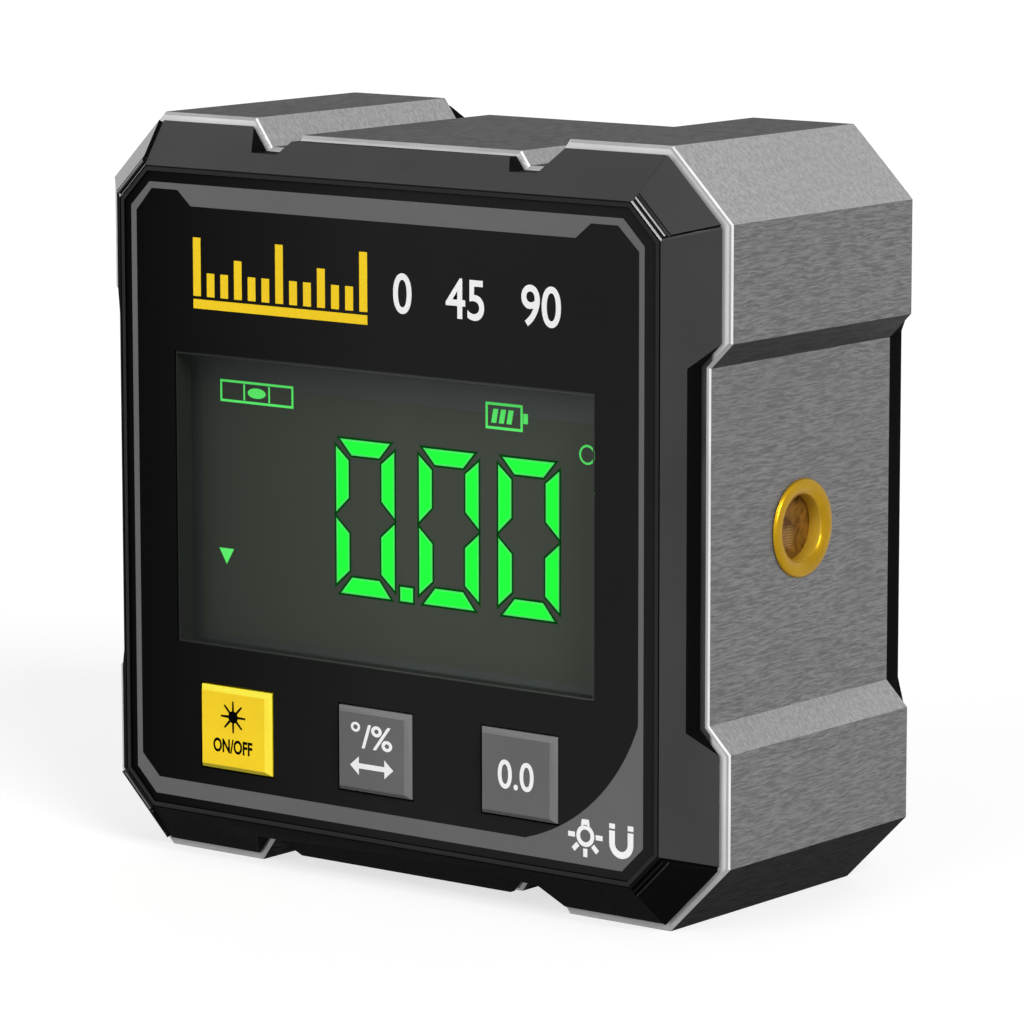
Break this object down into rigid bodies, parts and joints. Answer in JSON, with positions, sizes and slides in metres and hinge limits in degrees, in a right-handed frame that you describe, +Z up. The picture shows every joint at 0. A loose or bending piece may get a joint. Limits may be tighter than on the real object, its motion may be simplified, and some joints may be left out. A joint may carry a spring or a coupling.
{
  "type": "inclinometer",
  "caption": "Pocket digital inclinometer: chamfered aluminium frame between bevelled plastic covers, with a front display over a row of keys, a side laser port and a magnetic base.",
  "frame": {"origin": "middle of the base plane, half-way between the front of the keys and the rear face", "axes": "+X to the right of the display, +Y from the display to the rear, +Z up"},
  "size_m": [0.062, 0.033, 0.0605],
  "materials": {
    "frame_aluminium": "brushed",
    "cover_plastic": "satin, finely grained",
    "label_film": "satin print",
    "window_plastic": "clear",
    "lcd_glass": "smooth",
    "backlight_acrylic": "frosted",
    "led_white": "smooth",
    "white_plastic": "smooth",
    "contact_rubber": "matte",
    "board_laminate": "solder mask",
    "chip_plastic": "matte",
    "small_components": "mixed",
    "screw_steel": "turned",
    "plated_steel": "nickel plated",
    "spring_steel": "drawn wire",
    "laser_key_yellow": "satin",
    "key_grey": "satin",
    "switch_plastic": "matte",
    "plunger_plastic": "matte",
    "bezel_brass": "polished",
    "laser_window_amber": "clear",
    "barrel_brass": "turned",
    "lens_plastic": "clear",
    "diode_metal": "plated",
    "mount_plastic": "matte",
    "red_insulation": "smooth",
    "black_insulation": "smooth",
    "cell_wrap": "printed wrap",
    "magnet_nickel": "nickel plated"
  },
  "bodies": {
    "housing": {"aluminium_frame": "frame_aluminium", "front_cover": "cover_plastic", "front_label": "label_film", "display_window": "window_plastic", "lcd_panel": "lcd_glass", "backlight_panel": "backlight_acrylic", "backlight_leds": "led_white", "display_frame": "white_plastic", "contact_strip": "contact_rubber", "main_board": "board_laminate", "board_screws": "screw_steel", "microcontroller": "chip_plastic", "tilt_sensor": "plated_steel", "crystal": "plated_steel", "board_components": "small_components", "laser_switch": "switch_plastic", "unit_switch": "switch_plastic", "zero_switch": "switch_plastic", "laser_bezel": "bezel_brass", "laser_window": "laser_window_amber", "laser_barrel": "barrel_brass", "laser_lens": "lens_plastic", "laser_diode": "diode_metal", "laser_driver": "board_laminate", "laser_mount": "mount_plastic", "laser_mount_screws": "screw_steel", "laser_leads": "red_insulation", "rear_cover": "cover_plastic", "lower_cell": "cell_wrap", "upper_cell": "cell_wrap", "negative_contact": "plated_steel", "positive_contact": "plated_steel", "link_contact": "plated_steel", "battery_springs": "spring_steel", "black_lead": "black_insulation", "red_lead": "red_insulation", "base_magnets": "magnet_nickel", "housing_screws": "screw_steel"},
    "laser_key": {"laser_key": "laser_key_yellow", "laser_plunger": "plunger_plastic"},
    "unit_key": {"unit_key": "key_grey", "unit_plunger": "plunger_plastic"},
    "zero_key": {"zero_key": "key_grey", "zero_plunger": "plunger_plastic"},
    "battery_door": {"battery_door": "cover_plastic", "battery_door_screws": "screw_steel"}
  },
  "joints": [
    {"name": "laser_key_press", "type": "slide", "parent": "housing", "child": "laser_key", "axis": [0, 1, 0], "range_m": [0, 0.0005], "stiffness_N_per_m": 2000},
    {"name": "unit_key_press", "type": "slide", "parent": "housing", "child": "unit_key", "axis": [0, 1, 0], "range_m": [0, 0.0005], "stiffness_N_per_m": 2000},
    {"name": "zero_key_press", "type": "slide", "parent": "housing", "child": "zero_key", "axis": [0, 1, 0], "range_m": [0, 0.0005], "stiffness_N_per_m": 2000},
    {"name": "battery_door_lift_off", "type": "slide", "parent": "housing", "child": "battery_door", "axis": [0, 1, 0], "range_m": [0, 0.03]}
  ]
}
